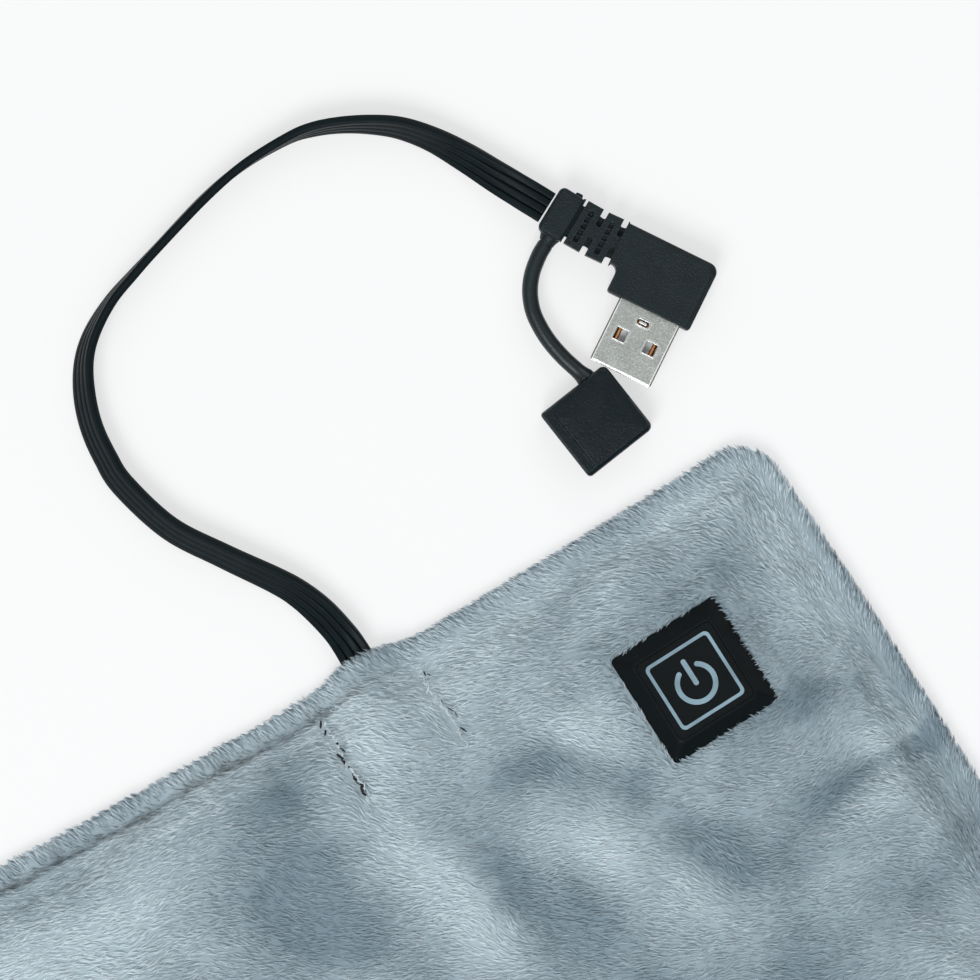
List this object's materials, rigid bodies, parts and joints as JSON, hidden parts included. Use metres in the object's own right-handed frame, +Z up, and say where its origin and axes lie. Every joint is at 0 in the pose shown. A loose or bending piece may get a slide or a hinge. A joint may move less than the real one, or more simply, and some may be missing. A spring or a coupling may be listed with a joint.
{
  "type": "heating pad",
  "caption": "Plush USB heating pad with a push-button controller in one corner and a short flat cable that ends in a right-angle USB-A plug with a tethered cap.",
  "frame": {"origin": "middle of the pad in plan, on the surface that it lies on", "axes": "+Z up out of the front cover, +Y along the pad's length to the side where the cable leaves, +X to the side of the controller"},
  "size_m": [0.1921, 0.3484, 0.0164],
  "materials": {
    "plush": "short plush pile",
    "thread": "polyester sewing thread",
    "wadding": "polyester wadding",
    "nonwoven": "thin nonwoven cloth",
    "wire": "silicone insulation over a heating strand",
    "cutout": "moulded case",
    "lead": "flexible insulation",
    "housing": "matt moulded",
    "rubber": "matt moulded, fine texture",
    "cable": "satin extruded",
    "print": "printed mark",
    "board": "solder mask",
    "chip": "moulded",
    "plunger": "moulded",
    "led": "clear resin",
    "nickel": "satin nickel plate",
    "tongue": "moulded",
    "gold": "gold plate"
  },
  "bodies": {
    "pad": {"front_cover": "plush", "back_cover": "plush", "edge_stitching": "thread", "bartack_left": "thread", "bartack_right": "thread", "wadding_front": "wadding", "wadding_back": "wadding", "heater_facing": "nonwoven", "heater_backing": "nonwoven", "heating_wire": "wire", "thermal_cutout": "cutout", "heater_lead_1": "lead", "heater_lead_2": "lead", "controller_lead": "lead", "controller_base": "housing", "controller_bezel": "rubber", "circuit_board": "board", "switch_body": "chip", "led_low": "led", "led_medium": "led", "led_high": "led", "control_chip": "chip", "cable_anchor": "rubber", "ribbon_cable": "cable", "cable_yoke": "rubber", "strain_relief": "rubber", "plug_head": "rubber", "usb_shell": "nickel", "usb_tongue": "tongue", "usb_contact_1": "gold", "usb_contact_2": "gold", "usb_contact_3": "gold", "usb_contact_4": "gold"},
    "key": {"power_key": "rubber", "icon_frame": "print", "icon_arc": "print", "icon_bar": "print"},
    "plunger": {"switch_plunger": "plunger"},
    "cap": {"usb_cap": "rubber", "cap_tether": "rubber"}
  },
  "joints": [
    {"name": "key_press", "type": "slide", "parent": "pad", "child": "key", "axis": [0, 0, -1], "range_m": [0, 0.0003], "stiffness_N_per_m": 1500, "springref_m": -0.0004},
    {"name": "plunger_press", "type": "slide", "parent": "pad", "child": "plunger", "axis": [0, 0, -1], "range_m": [0, 0.0003]},
    {"name": "cap_swing", "type": "hinge", "parent": "pad", "child": "cap", "pos_m": [0.0729, 0.1776, 0.0038], "axis": [0, 0, 1], "range_deg": [-60, 0]}
  ],
  "couplings": [
    {"joint": "plunger_press", "follows": "key_press", "ratio": 1}
  ]
}
